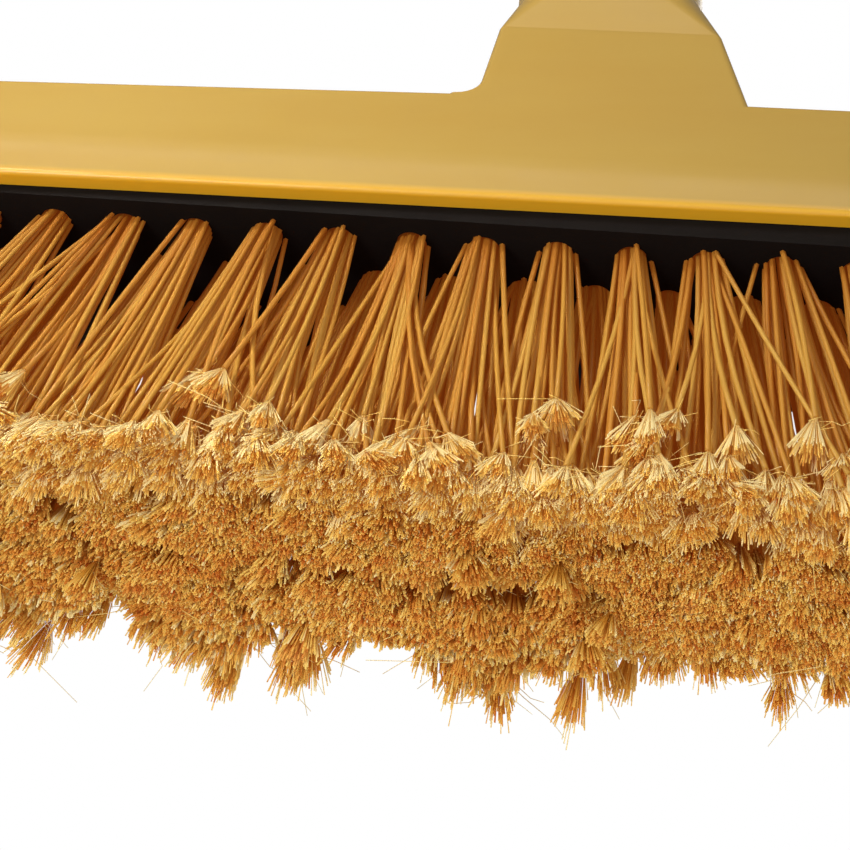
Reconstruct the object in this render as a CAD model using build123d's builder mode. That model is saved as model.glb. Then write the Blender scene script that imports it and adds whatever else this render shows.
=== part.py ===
"""Angle broom: a capped head with staggered tufts, and a long handle that screws into it.

Millimetres. +Z runs up the handle, +X along the head towards its long side, -Y is the front.
The origin is on the handle's axis, at the level of the lowest bristle tips.
"""
import os
from math import cos, radians, sin, tan

from build123d import *

os.makedirs("parts", exist_ok=True)

# Slopes across the head, each dipping towards the long side, measured from square with the handle
short_deck_angle = 2.8
rim_angle = 4.65
block_angle = 5.7
trim_angle = 6.4

# Tufts
row_count = 4
front_row_tufts = 20
tuft_pitch = 11.5
row_pitch = 8.7
hole_diameter = 4.8
bristle_length = 58.2
side_fan = 1.2
depth_fan = 1.45
tip_spread = 8.4
strand_width = 0.9
root_sink = 1.5
floor_cut = 0.5

# Seats of the strands in a tuft hole, as shares of the hole's radius, clear of the staple between them
strand_seats = [(-0.52, 0.36), (0.0, 0.56), (0.52, 0.36), (-0.32, -0.44), (0.32, -0.44)]

# Head cap, measured where its rim meets the block
cap_length = 237.0
cap_depth = 42.7
cap_corner = 12.0
cap_height = 31.3
cap_wall = 2.8
deck_thickness = 3.0
rim_lift = 3.5
rim_round = 0.8
knee_height = 11.0
skirt_draft = 1.5
face_draft = 8.0
knee_radius = 45.0
deck_round = 1.0
deck_turn = 21.0
rib_thickness = 2.0
rib_pitch = 38.0
rib_count = 6

# Tuft block, with the web above its holes cut into one strip for each half row
block_thickness = 11.0
web_thickness = 4.0
block_clearance = 0.15
screw_channel = 4.0
strip_gap = 0.1

# Staples that anchor the tufts
staple_bite = 0.5
staple_thickness = 0.4
staple_height = 2.0
staple_depth = 2.4

# Screws that hold the block in the cap
screw_steps = (2.25, 7.25)
screw_diameter = 2.9
screw_head_diameter = 4.2
screw_head_height = 1.7
screw_recess = 2.0
screw_length = 20.0
screw_point = 2.0
screw_point_radius = 0.35
screw_slot = 0.7
screw_clearance = 0.15
boss_diameter = 8.0
pilot_clearance = 0.03

# Neck and socket
neck_short_side = 20.1
neck_long_side = 23.8
neck_short_taper = 7.5
neck_long_taper = 12.2
neck_corner = 1.2
neck_flush = 20.0
neck_sink = 6.0
neck_merge = 3.0
neck_face_draft = 7.2
foot_round = 4.5
foot_steps = 6
foot_sink = 0.2
neck_height = 53.1
mouth_diameter = 32.0
mouth_flat = 0.2
cuff_depth = 14.0
cuff_clearance = 0.4

# Handle
sleeve_diameter = 25.4
sleeve_wall = 0.35
sleeve_gap = 0.3
running_clearance = 0.05
tube_length = 1067.0
tube_wall = 0.8
plug_clearance = 0.05
seat_gap = 0.1
end_inset = 0.3

# Broom thread
thread_diameter = 19.05
thread_pitch = 5.08
thread_depth = 1.75
thread_bury = 0.5
thread_crest = 1.2
thread_root = 2.6
thread_turns = 5.5
thread_clearance = 0.35
tip_lead = 2.0
tip_length = 34.0
collar_height = 3.0
shank_length = 30.0
pin_diameter = 3.0
pin_inset = 0.25

# Hang cap
hang_plug_length = 25.0
hang_head_height = 36.0
hang_hole_diameter = 9.0
hang_hole_drop = 15.0
hang_tab = 13.0
hang_neck = 9.0
hang_round = 4.0

# Heights that follow
half_row = (front_row_tufts - 1) / 2 * tuft_pitch
half_sweep = side_fan * half_row + tip_spread * max(seat[0] for seat in strand_seats) + strand_width / 2
block_height = bristle_length + half_sweep * tan(radians(trim_angle)) - floor_cut
deck_height = block_height + cap_height
mouth_height = deck_height + neck_height
cuff_floor = mouth_height - cuff_depth
tube_diameter = sleeve_diameter - 2 * sleeve_wall - 2 * running_clearance
tube_bore = tube_diameter - 2 * tube_wall
tube_bottom = cuff_floor + seat_gap + collar_height
tube_top = tube_bottom + tube_length
core_radius = thread_diameter / 2 - thread_depth


def sloped_plane(height, angle):
    """Plane across the head, at a height on the handle's axis, dipping towards the long side."""
    slope = radians(angle)
    return Plane(origin=(0, 0, height), x_dir=(cos(slope), 0, -sin(slope)), z_dir=(sin(slope), 0, cos(slope)))


head_plane = sloped_plane(block_height, rim_angle)
rim_plane = sloped_plane(block_height + rim_lift, rim_angle)
deck_plane = sloped_plane(deck_height, rim_angle)
turn_rise = deck_turn * (tan(radians(rim_angle)) - tan(radians(short_deck_angle)))
short_deck_plane = sloped_plane(deck_height + turn_rise, short_deck_angle)
block_plane = sloped_plane(block_height, block_angle)
web_plane = block_plane.offset(block_thickness)
stack_plane = block_plane.offset(block_thickness + web_thickness)

skirt_drop = cap_length * tan(radians(block_angle))
skirt_spread = skirt_drop * tan(radians(skirt_draft))
knee_inset = knee_height * tan(radians(skirt_draft))
face_rise = 2 * cap_height
plane_tolerance = 1e-3


def on_knee(edge):
    """Whether an edge lies in the plane of the cap's knee."""
    return abs(head_plane.to_local_coords(edge.center()).Z - knee_height) < plane_tolerance


def on_deck(edge):
    """Whether an edge bounds the cap's deck: in one of the deck's two planes, and not where they meet."""
    near = [abs(plane.to_local_coords(edge.center()).Z) < plane_tolerance for plane in (deck_plane, short_deck_plane)]
    return near.count(True) == 1


def on_rim(edge):
    """Whether an edge lies in the plane of the cap's rim."""
    return abs(rim_plane.to_local_coords(edge.center()).Z) < plane_tolerance


def cut_under_deck(drop):
    """Cut what is being built by the deck's two planes, lowered by a drop, and keep what is under them."""
    split(bisect_by=deck_plane.offset(-drop), keep=Keep.BOTTOM)
    split(bisect_by=short_deck_plane.offset(-drop), keep=Keep.BOTTOM)


def bar_outline(inset):
    """Rounded outline of the bar, drawn in by an inset from its outline at the rim."""
    RectangleRounded(cap_length - 2 * inset, cap_depth - 2 * inset, cap_corner - inset)


def drafted_bar(inset, knee_round):
    """Bar of the head: an almost straight skirt, a rounded knee, then a face that leans in."""
    with BuildPart() as bar:
        with BuildSketch(head_plane.offset(-skirt_drop)):
            bar_outline(inset - skirt_spread)
        extrude(amount=knee_height + skirt_drop, taper=skirt_draft)
        with BuildSketch(head_plane.offset(knee_height)):
            bar_outline(inset + knee_inset)
        extrude(amount=face_rise, taper=face_draft)
        if knee_round:
            fillet(bar.edges().filter_by(on_knee), knee_round)
    return bar.part


def tuft_axis(x, y):
    """Point where a tuft leaves the block, and its unit direction towards its tips."""
    root = block_plane.from_local_coords(Vector(x, y, 0))
    tip_x = side_fan * root.X
    tip = Vector(tip_x, depth_fan * root.Y, trim_height(tip_x))
    return root, (tip - root).normalized()


def trim_height(x):
    """Height of the trimmed bristle tips at a place along the head."""
    return block_height - bristle_length - x * tan(radians(trim_angle))


def square_at(x, y, height_at):
    """Square end of a strand, with its corners at the heights that a function of x gives."""
    half = strand_width / 2
    corners = [(x - half, y - half), (x + half, y - half), (x + half, y + half), (x - half, y + half)]
    return Wire.make_polygon([Vector(cx, cy, height_at(cx)) for cx, cy in corners], close=True)


def tuft_strands(x, y):
    """Strands of one tuft: along the hole from the web, then spreading to the trimmed tips."""
    root, way = tuft_axis(x, y)
    lift = block_thickness + root_sink
    top = root - way * (lift / -way.dot(block_plane.z_dir))
    tip_x = side_fan * root.X
    tip_y = depth_fan * root.Y
    strands = []
    for seat_x, seat_y in strand_seats:
        in_hole = Vector(seat_x, seat_y) * (hole_diameter / 2)
        at_tip = Vector(seat_x, seat_y) * tip_spread
        rings = [
            square_at(top.X + in_hole.X, top.Y + in_hole.Y, lambda cx: top.Z),
            square_at(root.X + in_hole.X, root.Y + in_hole.Y, lambda cx: root.Z),
            square_at(tip_x + at_tip.X, tip_y + at_tip.Y, trim_height),
        ]
        strands.append(Solid.make_loft(rings, ruled=True))
    return strands


def row_places(row):
    """Places of a row's tufts on the block: rows are staggered by half a pitch."""
    count = front_row_tufts - row % 2
    y = (row - (row_count - 1) / 2) * row_pitch
    return [((index - (count - 1) / 2) * tuft_pitch, y) for index in range(count)]


def tuft_frame(x, y, height):
    """Frame on a tuft's axis, at a height above the block's underside, with its z up the hole."""
    root, way = tuft_axis(x, y)
    up = way * -1
    across = Vector(1, 0, 0) - up * up.X
    return Plane(origin=root + up * (height / up.dot(block_plane.z_dir)), x_dir=across, z_dir=up)


def thread_ridge(start, turns, grow):
    """Helical ridge of the broom thread, grown by a clearance for the groove it runs in."""
    half_root = thread_root / 2 + grow
    half_crest = thread_crest / 2 + grow
    with BuildPart() as ridge:
        with BuildLine() as path:
            Helix(pitch=thread_pitch, height=turns * thread_pitch, radius=core_radius, center=(0, 0, start))
        with BuildSketch(Plane(origin=path.line @ 0, x_dir=(1, 0, 0), z_dir=path.line % 0)):
            with BuildLine():
                Polyline((-thread_bury, -half_root), (thread_depth + grow, -half_crest),
                         (thread_depth + grow, half_crest), (-thread_bury, half_root), close=True)
            make_face()
        sweep(is_frenet=True)
    return ridge.part


def finish(piece, name):
    """Name a piece and write it."""
    piece.part.label = name
    export_step(piece.part, f"parts/{name}.step")


def neck_section(rise, flare):
    """Outline of the neck at a rise above the deck, let out by a flare on the short side only."""
    bar_inset = knee_inset + (cap_height - neck_merge - knee_height) * tan(radians(face_draft))
    depth = cap_depth - 2 * bar_inset - 2 * (rise + neck_merge) * tan(radians(neck_face_draft))
    short_edge = rise * tan(radians(neck_short_taper)) - neck_short_side - flare
    long_edge = neck_long_side - rise * tan(radians(neck_long_taper))
    with BuildSketch(deck_plane.offset(rise)) as section:
        with Locations(((short_edge + long_edge) / 2 - rise * tan(radians(rim_angle)), 0)):
            RectangleRounded(long_edge - short_edge, depth, neck_corner)
    return section.sketch


ON_BASE = (Align.CENTER, Align.CENTER, Align.MIN)
UNDER_TOP = (Align.CENTER, Align.CENTER, Align.MAX)
row_names = ["front", "second", "third", "back"]
screw_places = [side * step * tuft_pitch for side in (-1, 1) for step in screw_steps]
screw_frames = [block_plane.location * Location((x, 0, 0)) for x in sorted(screw_places)]
mouth_corner = (mouth_diameter - mouth_flat) / 2


# Head cap: hollow bar with ribs and screw bosses, flush neck and threaded socket
cap_outer = drafted_bar(0, knee_radius)
cap_cavity = drafted_bar(cap_wall, 0)
bore_depth = tip_length + thread_pitch
ridge_start = cuff_floor + seat_gap - tip_length + tip_lead
groove_turns = bore_depth / thread_pitch + 1
groove = thread_ridge(ridge_start - thread_pitch, groove_turns, thread_clearance)

with BuildPart() as cavity:
    add(cap_cavity)
    cut_under_deck(deck_thickness)

with BuildPart() as cap_ribs:
    with BuildSketch(head_plane):
        with GridLocations(rib_pitch, 0, rib_count, 1):
            Rectangle(rib_thickness, cap_depth)
    extrude(amount=face_rise)
    with Locations(*screw_frames):
        Cylinder(boss_diameter / 2, face_rise, align=ON_BASE)
    split(bisect_by=stack_plane, keep=Keep.TOP)
    cut_under_deck(deck_thickness / 2)
    add(cap_cavity, mode=Mode.INTERSECT)
    with Locations(*screw_frames):
        Cylinder(screw_diameter / 2 + pilot_clearance, screw_recess + screw_length + screw_clearance,
                 align=ON_BASE, mode=Mode.SUBTRACT)

with BuildPart() as socket:
    with Locations((0, 0, mouth_height)):
        Cylinder(tube_diameter / 2 + cuff_clearance, cuff_depth, align=UNDER_TOP)
    with Locations((0, 0, cuff_floor)):
        Cylinder(core_radius + thread_clearance, bore_depth, align=UNDER_TOP)
    add(groove)

foot_arc = [radians(90 * step / foot_steps) for step in range(foot_steps + 1)]
neck_steps = [(-neck_sink, foot_round)]
neck_steps += [(foot_round * (1 - cos(turn)) - foot_sink, foot_round * (1 - sin(turn))) for turn in foot_arc]
neck_steps += [(neck_flush, 0)]

with BuildSketch(Plane.XY.offset(cuff_floor)) as mouth:
    RectangleRounded(mouth_diameter, mouth_diameter, mouth_corner)

with BuildPart() as head_cap:
    add(cap_outer)
    cut_under_deck(0)
    split(bisect_by=rim_plane, keep=Keep.TOP)
    fillet(head_cap.edges().filter_by(on_deck), deck_round)
    fillet(head_cap.edges().filter_by(on_rim), rim_round)
    loft([neck_section(rise, flare) for rise, flare in neck_steps], ruled=True)
    loft([neck_section(neck_flush, 0), mouth.sketch], ruled=True)
    extrude(mouth.sketch, amount=cuff_depth)
    add(cavity.part, mode=Mode.SUBTRACT)
    add(cap_ribs.part)
    add(socket.part, mode=Mode.SUBTRACT)
finish(head_cap, "head_cap")

# Tuft block: drilled through for the tufts and the screws, with the web of its holes made as strips
with BuildPart() as block_stack:
    add(drafted_bar(cap_wall + block_clearance, 0))
    split(bisect_by=block_plane, keep=Keep.TOP)
    split(bisect_by=stack_plane, keep=Keep.BOTTOM)

with BuildPart() as tuft_block:
    add(block_stack.part)
    split(bisect_by=web_plane, keep=Keep.BOTTOM)
    with Locations(*[tuft_frame(x, y, 0).location for row in range(row_count) for x, y in row_places(row)]):
        Cylinder(hole_diameter / 2, 4 * block_thickness, mode=Mode.SUBTRACT)
    with Locations(*screw_frames):
        Cylinder(screw_diameter / 2 + screw_clearance, 4 * block_thickness, mode=Mode.SUBTRACT)
        Cylinder(screw_head_diameter / 2 + screw_clearance, 2 * screw_recess, mode=Mode.SUBTRACT)
finish(tuft_block, "tuft_block")

# Bristles: the strands of each half row, fused to their strip of the block's web
for row, row_name in enumerate(row_names):
    row_split = -(row % 2) * tuft_pitch / 2
    near = max(abs(row - row_count / 2), abs(row + 1 - row_count / 2)) - 1
    low = max(near * row_pitch, screw_channel / 2) + strip_gap / 2
    outermost = row in (0, row_count - 1)
    high = cap_depth if outermost else (near + 1) * row_pitch - strip_gap / 2
    row_side = 1 if row >= row_count / 2 else -1
    for side, side_name in ((-1, "short_side"), (1, "long_side")):
        places = [place for place in row_places(row) if side * (place[0] - row_split) > 0]
        strands = [strand for x, y in places for strand in tuft_strands(x, y)]
        end = Align.MIN if side > 0 else Align.MAX
        middle = (row_split + side * strip_gap / 2, row_side * (low + high) / 2, 0)
        with BuildPart() as strip:
            add(block_stack.part)
            split(bisect_by=web_plane, keep=Keep.TOP)
            with Locations(web_plane.location * Location(middle)):
                Box(cap_length, high - low, 4 * web_thickness,
                    align=(end, Align.CENTER, Align.CENTER), mode=Mode.INTERSECT)
            add(strands)
            split(bisect_by=Plane.XY, keep=Keep.TOP)
        finish(strip, f"bristles_{row_name}_{side_name}")

# Staples: a flat wire across each tuft hole, with its ends in the block
for row, row_name in enumerate(row_names):
    with BuildPart() as staples:
        seats = [tuft_frame(x, y, block_thickness - staple_depth) for x, y in row_places(row)]
        with Locations(*[seat.location for seat in seats]):
            Box(hole_diameter + 2 * staple_bite, staple_thickness, staple_height)
    finish(staples, f"staples_{row_name}_row")

# Screws: slotted heads recessed in the block, points in the bosses of the cap
for index, frame in enumerate(screw_frames):
    with BuildPart() as screw:
        with Locations(frame * Location((0, 0, screw_recess))):
            Cylinder(screw_head_diameter / 2, screw_head_height, align=UNDER_TOP)
            Cylinder(screw_diameter / 2, screw_length - screw_point, align=ON_BASE)
        with Locations(frame * Location((0, 0, screw_recess + screw_length - screw_point))):
            Cone(screw_diameter / 2, screw_point_radius, screw_point, align=ON_BASE)
        with Locations(frame * Location((0, 0, screw_recess - screw_head_height))):
            Box(2 * screw_head_diameter, screw_slot, 2 * screw_slot, mode=Mode.SUBTRACT)
    finish(screw, f"block_screw_{index + 1}")

# Handle tube, drilled for the pin
pin_height = tube_bottom + shank_length / 2
pin_hole_radius = pin_diameter / 2 + plug_clearance
with BuildPart() as handle_tube:
    with BuildSketch(Plane.XY.offset(tube_bottom)):
        Circle(tube_diameter / 2)
        Circle(tube_bore / 2, mode=Mode.SUBTRACT)
    extrude(amount=tube_length)
    with Locations((0, 0, pin_height)):
        Cylinder(pin_hole_radius, 2 * tube_diameter, rotation=(90, 0, 0), mode=Mode.SUBTRACT)
finish(handle_tube, "handle_tube")

# Handle sleeve, from the neck's mouth to the hang cap
sleeve_bottom = mouth_height + sleeve_gap
with BuildPart() as handle_sleeve:
    with BuildSketch(Plane.XY.offset(sleeve_bottom)):
        Circle(sleeve_diameter / 2)
        Circle(sleeve_diameter / 2 - sleeve_wall, mode=Mode.SUBTRACT)
    extrude(amount=tube_top - seat_gap - sleeve_bottom)
finish(handle_sleeve, "handle_sleeve")

# Threaded tip: stud with the broom thread, collar, and shank in the tube
ridge = thread_ridge(ridge_start, thread_turns, 0)
with BuildPart() as threaded_tip:
    with Locations((0, 0, cuff_floor + seat_gap)):
        Cylinder(core_radius, tip_length, align=UNDER_TOP)
    chamfer(threaded_tip.edges().group_by(Axis.Z)[0], tip_lead / 2)
    with Locations((0, 0, cuff_floor + seat_gap)):
        Cylinder(tube_diameter / 2, collar_height, align=ON_BASE)
    with Locations((0, 0, tube_bottom)):
        Cylinder(tube_bore / 2 - plug_clearance, shank_length, align=ON_BASE)
    add(ridge)
    with Locations((0, 0, pin_height)):
        Cylinder(pin_hole_radius, 2 * tube_diameter, rotation=(90, 0, 0), mode=Mode.SUBTRACT)
finish(threaded_tip, "threaded_tip")

# Tip pin
with BuildPart() as tip_pin:
    with Locations((0, 0, pin_height)):
        Cylinder(pin_diameter / 2, tube_diameter - 2 * pin_inset, rotation=(90, 0, 0))
finish(tip_pin, "tip_pin")

# Hang cap: plug in the tube and a flattened tab with the hang hole
hang_hole_height = tube_top + hang_head_height - hang_hole_drop
with BuildPart() as hang_cap:
    with Locations((0, 0, tube_top)):
        Cylinder(sleeve_diameter / 2 - end_inset, hang_head_height, align=ON_BASE)
    fillet(hang_cap.edges().group_by(Axis.Z)[-1], hang_round)
    with Locations((0, 0, tube_top + hang_neck)):
        with GridLocations(0, hang_tab + sleeve_diameter, 1, 2):
            Box(2 * sleeve_diameter, sleeve_diameter, hang_head_height, align=ON_BASE, mode=Mode.SUBTRACT)
    with Locations((0, 0, tube_top)):
        Cylinder(tube_bore / 2 - plug_clearance, hang_plug_length, align=UNDER_TOP)
    with Locations((0, 0, hang_hole_height)):
        Cylinder(hang_hole_diameter / 2, 2 * sleeve_diameter, rotation=(90, 0, 0), mode=Mode.SUBTRACT)
finish(hang_cap, "hang_cap")
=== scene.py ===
"""Dresses the angle broom: flagged bristles, moulded and metal finishes, a pale stage and the camera."""

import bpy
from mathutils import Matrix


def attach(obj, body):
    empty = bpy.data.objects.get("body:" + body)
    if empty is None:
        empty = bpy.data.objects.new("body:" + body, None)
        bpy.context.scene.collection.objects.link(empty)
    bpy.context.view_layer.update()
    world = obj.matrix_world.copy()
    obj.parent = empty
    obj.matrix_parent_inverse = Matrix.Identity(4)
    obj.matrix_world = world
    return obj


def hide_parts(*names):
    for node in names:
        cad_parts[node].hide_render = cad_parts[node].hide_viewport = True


bl_info = {
    "name": "Angle Broom",
    "version": (1, 0, 0),
    "blender": (4, 5, 0),
    "location": "3D View > Sidebar > Broom",
    "description": "Flagged bristles, finishes and a stage for the angle broom",
    "category": "Object",
}

from math import cos, pi, radians, sin, sqrt, tan
from typing import NamedTuple

import bpy
import numpy as np
from bpy.props import FloatProperty, FloatVectorProperty, IntProperty, PointerProperty
from mathutils import Matrix, Vector

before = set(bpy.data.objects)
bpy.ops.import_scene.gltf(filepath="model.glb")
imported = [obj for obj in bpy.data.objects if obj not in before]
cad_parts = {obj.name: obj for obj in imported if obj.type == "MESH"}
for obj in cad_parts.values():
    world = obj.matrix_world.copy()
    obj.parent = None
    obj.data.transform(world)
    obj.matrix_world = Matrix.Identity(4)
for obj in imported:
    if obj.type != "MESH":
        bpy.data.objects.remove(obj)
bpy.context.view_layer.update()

ROWS = ("front", "second", "third", "back")
FRONT_ROW = 0
BACK_ROW = len(ROWS) - 1
GOLDEN_ANGLE = pi * (3 - sqrt(5))
IMAGE_SIDE = 850

# Sockets of a Mix node that mixes colours
MIX_FACTOR = 0
MIX_FIRST = 6
MIX_SECOND = 7
MIX_RESULT = 2

# Strand map: tones lie across it, and along it come shafts, inner split ends and front split ends
STRAND_MAP = "OFBake"
TONE_SPAN = 0.95
STRAND_WIDTH = 0.03
CORNER_STEP = 0.01
END_HEIGHT = 0.004
END_SCALE = 0.985
END_LIFT = 0.006
# Painted shade: from the root to ROOT_END the colour leads from the darker root, in shade under the cap, to
# the shaft's amber.
ROOT_END = 0.45
SHAFT_END = 0.84
INNER_FORK = 0.87
BACK_FORK = 0.909
INNER_SPLIT = 0.922
INNER_LOOSE = 0.93
INNER_STRAW = 0.948
INNER_TIP = 0.955
# Painted light: the front split ends have a run of their own that starts at golden straw rather than deep
# amber, so the lit front row reads paler.
FRONT_FORK = 0.965
FRONT_LOOSE = 0.97
FRONT_STRAW = 0.99
FRONT_TIP = 1.0

# A hair's three walls and cut end by their corners, of which 0 is its point, and those corners on the map
HAIR_FACES = np.array([[0, 2, 1], [0, 3, 2], [0, 1, 3], [1, 2, 3]])
HAIR_ACROSS = np.array([[0.5, 1, 0], [1.5, 2, 1], [2.5, 3, 2], [0.2, 1.6, 0.9]]) * CORNER_STEP
HAIR_RUN = np.array([[0, 1, 1], [0, 1, 1], [0, 1, 1], [0.99, 0.99, 1]])

# Factors on a strand's colour across the map, from the darkest to the palest, and on its painted glow along
# it, an emission that stands in for light passing through the bristles
STRAND_TINTS = (
    (0.0, (0.58, 0.20, 0.06)),
    (0.3, (0.82, 0.60, 0.32)),
    (0.6, (0.90, 0.91, 0.64)),
    (0.8, (0.96, 1.11, 1.05)),
    (1.0, (0.93, 1.26, 2.3)),
)
PAINTED_GLOW_STOPS = (
    (SHAFT_END, 0.72),
    (INNER_FORK, 0.1),
    (INNER_TIP, 0.1),
    (FRONT_FORK, 0.3),
    (FRONT_TIP, 0.3),
)

# Directions well off every strand and split end, which their cross-sections are turned by
STRAND_SKEW = np.array([0.31, 0.95, 0.05])
FLAG_SKEW = np.array([0.2, 0.96, 0.1])

# Limits of the tips and hairs, so that they stand out of the CAD model no further than soft pieces may
TIP_REACH_X = 0.141
TIP_RANGE_Y = (-0.027, 0.03)
HAIR_RANGE_Y = (-0.0335, 0.0345)
LOWEST_TIP = 0.0004
LOWEST_HAIR = 0.0003

# Lean of the rear tufts: where along the head their draw starts, and over what length it grows
DRAW_START = -0.01
DRAW_LENGTH = 0.05

# Seats, spread, cut and bow of bristles: shares are of a tuft, noises standard deviations, ranges even draws
SEAT_FILL = 0.8
OVAL_NOISE = 0.15
REAR_NARROWING = 0.3
REAR_SHRINK = 0.15
REAR_SWELL = 0.2
TIP_NOISE = 0.0008
TUFT_NOISE = 0.0009
REAR_TUFT_NOISE = 0.0008
STRAY_SHARE = 0.03
STRAY_RANGE = (1.2, 1.9)
CROSSING_SHARE = 0.06
CROSSING_RANGE = (0.7, 1.7)
CROSSING_DEPTH = 0.9
GATHER_RANGE = (0.7, 1.25)
FRINGE_NOISE = 0.0045
FRINGE_POWER = 1.7
FRONT_HEADING = -0.6
SHORT_SHARE = 0.03
SHORT_FRONT_SHARE = 0.2
SHORT_RANGE = (0.003, 0.013)
LONG_SHARE = 0.02
LONG_RANGE = (0.003, 0.008)
FRONT_UNEVENNESS = 0.0011
INNER_UNEVENNESS = 0.0004
TUFT_UNEVENNESS = 0.0007
BOW_NOISE = 0.0010
BOW_SHARES = np.array([1, 1, 0.2])
SPREAD_BOW = 0.1

# Shafts: their points and sides, and how girth and tone vary
SHAFT_POINTS = 7
SHAFT_SIDES = 5
SHAFT_GIRTH_RANGE = (0.9, 1.1)
SHAFT_TONE = 0.42
SHAFT_TONE_SPAN = 0.3

# Split ends: how they open, bend and vary, with factors for those of the fringe
FLAG_RANGE = (0.75, 1.15)
FRINGE_FLAG = 1.4
CLUMP_START = 0.4
CLUMP_RANGE = (0.75, 1.2)
PACKING = 0.7
BENT_SHARE = 0.05
BENT_LEAN = 0.6
PLAIN_LEAN = 0.12
OPENING_RANGE = (0.75, 1.25)
CUT_NOISE = 0.00035
FRINGE_CUT = 3.5
HAIR_GIRTH_RANGE = (0.8, 1.25)
FRINGE_HAIR_GIRTH = 0.75
# Painted light and shade: hairs further out on a split end and on its side facing out of the brush are made
# paler, deeper ones darker.
RIM_PAINTED_LIGHT = 0.5
STRAND_PALENESS = 0.2
OUTWARD_PAINTED_LIGHT = 0.6
HAIR_TONE_NOISE = 0.11

# Loose hairs: points and sides, how many more the back row has, and how they leave, curl, reach and taper
LOOSE_POINTS = 4
LOOSE_SIDES = 3
MORE_AT_BACK = 2
LEAVE_NOISE = 0.75
CURL_NOISE = 0.6
CURL_RANGE = (1.5, 5.0)
REACH_RANGE = (0.2, 0.7)
FRINGE_LOOSE_REACH = 2.2
BEGIN_RANGE = (0.0, 0.4)
AHEAD_RANGE = (0.3, 1.0)
LOOSE_TAPER = (0.6, 0.4)
LOOSE_TONE_RANGE = (0.75, 1.0)

# Grain of the finishes: how its noise is stretched, which noise counts, and how rough and deep it is
FLOW_STRETCH = (9.0, 16.0, 30.0)
FLOW_RANGE = (0.38, 0.66)
DENT_RANGE = (0.3, 0.7)
PEBBLE_SHARE = 0.35
PEBBLE_DEPTH = 0.0004
DRAWN_LINE_STRETCH = (900.0, 900.0, 18.0)
DRAWN_LINE_ROUGHNESS = (0.22, 0.42)
DRAWN_LINE_DEPTH = 0.0002

# Bristle plastic: where along the strand map its roughness grows, from what to what, its shine and the
# strength of its painted glow, an emission standing in for light passed through the bristles
ROUGHER_START = 0.8
BRISTLE_ROUGHNESS = (0.38, 0.55)
BRISTLE_SPECULAR = 0.3
PAINTED_GLOW_STRENGTH = 0.1

# The floor's own light: strength under the broom, and the shares of its reach where it grows to white
FLOOR_LIGHT = 0.55
FLOOR_LIGHT_START = 0.12
FLOOR_LIGHT_END = 0.9


def size(name, description, default):
    """A length in metres that the panel shows."""
    return FloatProperty(
        name=name, description=description, default=default, min=0, precision=5, unit="LENGTH"
    )


def share(name, description, default):
    """A plain factor that the panel shows."""
    return FloatProperty(name=name, description=description, default=default, precision=3)


def number(name, description, default, least=1):
    """A whole number that the panel shows."""
    return IntProperty(name=name, description=description, default=default, min=least)


def angle(name, description, degrees):
    """An angle that the panel shows in degrees."""
    return FloatProperty(name=name, description=description, default=radians(degrees), subtype="ANGLE")


def colour(name, description, red, green, blue):
    """A colour given as display values from 0 to 255, kept as linear light."""
    display = np.array([red, green, blue]) / 255
    linear = np.where(display <= 0.04045, display / 12.92, ((display + 0.055) / 1.055) ** 2.4)
    return FloatVectorProperty(
        name=name, description=description, default=tuple(linear), min=0, max=1, size=3, subtype="COLOR"
    )


class BristleSettings(bpy.types.PropertyGroup):
    """Where the tufts stand, and how their bristles fan and split."""

    tuft_pitch: size("Tuft pitch", "Distance between tufts along a row", 0.0115)
    row_pitch: size("Row pitch", "Distance between rows", 0.0087)
    long_row: number("Long row", "Tufts in the front and third rows", 20, least=2)
    block_height: size("Block height", "Height of the block's underside on the handle's axis", 0.072946)
    block_angle: angle("Block angle", "Slope of the block's underside along the head", 5.7)
    trim_angle: angle("Trim angle", "Slope of the trimmed tips along the head", 6.4)
    bristle_length: size("Bristle length", "Free length from block to tips on the handle's axis", 0.0582)
    side_fan: share("Side fan", "Tips' reach along the head, as a multiple of the roots'", 1.2)
    depth_fan: share("Depth fan", "Tips' reach across the head, as a multiple of the roots'", 1.45)
    hole_radius: size("Hole radius", "Radius of a tuft hole in the block", 0.0024)
    hole_depth: size("Hole depth", "How far the bristles reach into the block", 0.009)
    tip_spread: size("Tip spread", "How far a tuft's tips spread along the head", 0.0095)
    tip_depth: size("Tip depth", "How far a tuft's tips spread across the head", 0.0068)
    rear_spread: size("Rear spread", "How far a back-row tuft's tips spread along the head", 0.0088)
    rear_gather: size("Rear gather", "How far most back-row tips draw in towards the third row", 0.0095)
    fringe_share: share("Fringe share", "Share of a back-row tuft's bristles that stand out behind", 0.17)
    fringe_start: size("Fringe start", "How far inside the tuft's middle the fringe begins", 0.0025)
    fringe_reach: size("Fringe reach", "Range over which the fringe stands out, most of it little", 0.0118)
    rear_draw: size("Rear draw", "How much less the back rows lean out on the long side", 0.0072)
    bristles: number("Bristles", "Bristles in a tuft", 28)
    bristle_radius: size("Bristle radius", "Radius of a bristle's shaft", 0.00043)
    flag_length: size("Flag length", "Length over which a bristle's end is split", 0.0064)
    flag_radius: size("Flag radius", "Radius to which a split end opens", 0.0027)
    flag_hairs: number("Flag hairs", "Hairs in a split end", 124)
    front_hairs: number("Front hairs", "Hairs in a split end of the front row", 112)
    loose_hairs: number("Loose hairs", "Fine loose hairs on a split end", 2)
    front_loose: number("Front loose hairs", "Fine loose hairs on a front split end", 7)
    hair_radius: size("Hair radius", "Radius of one hair", 0.00014)


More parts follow.
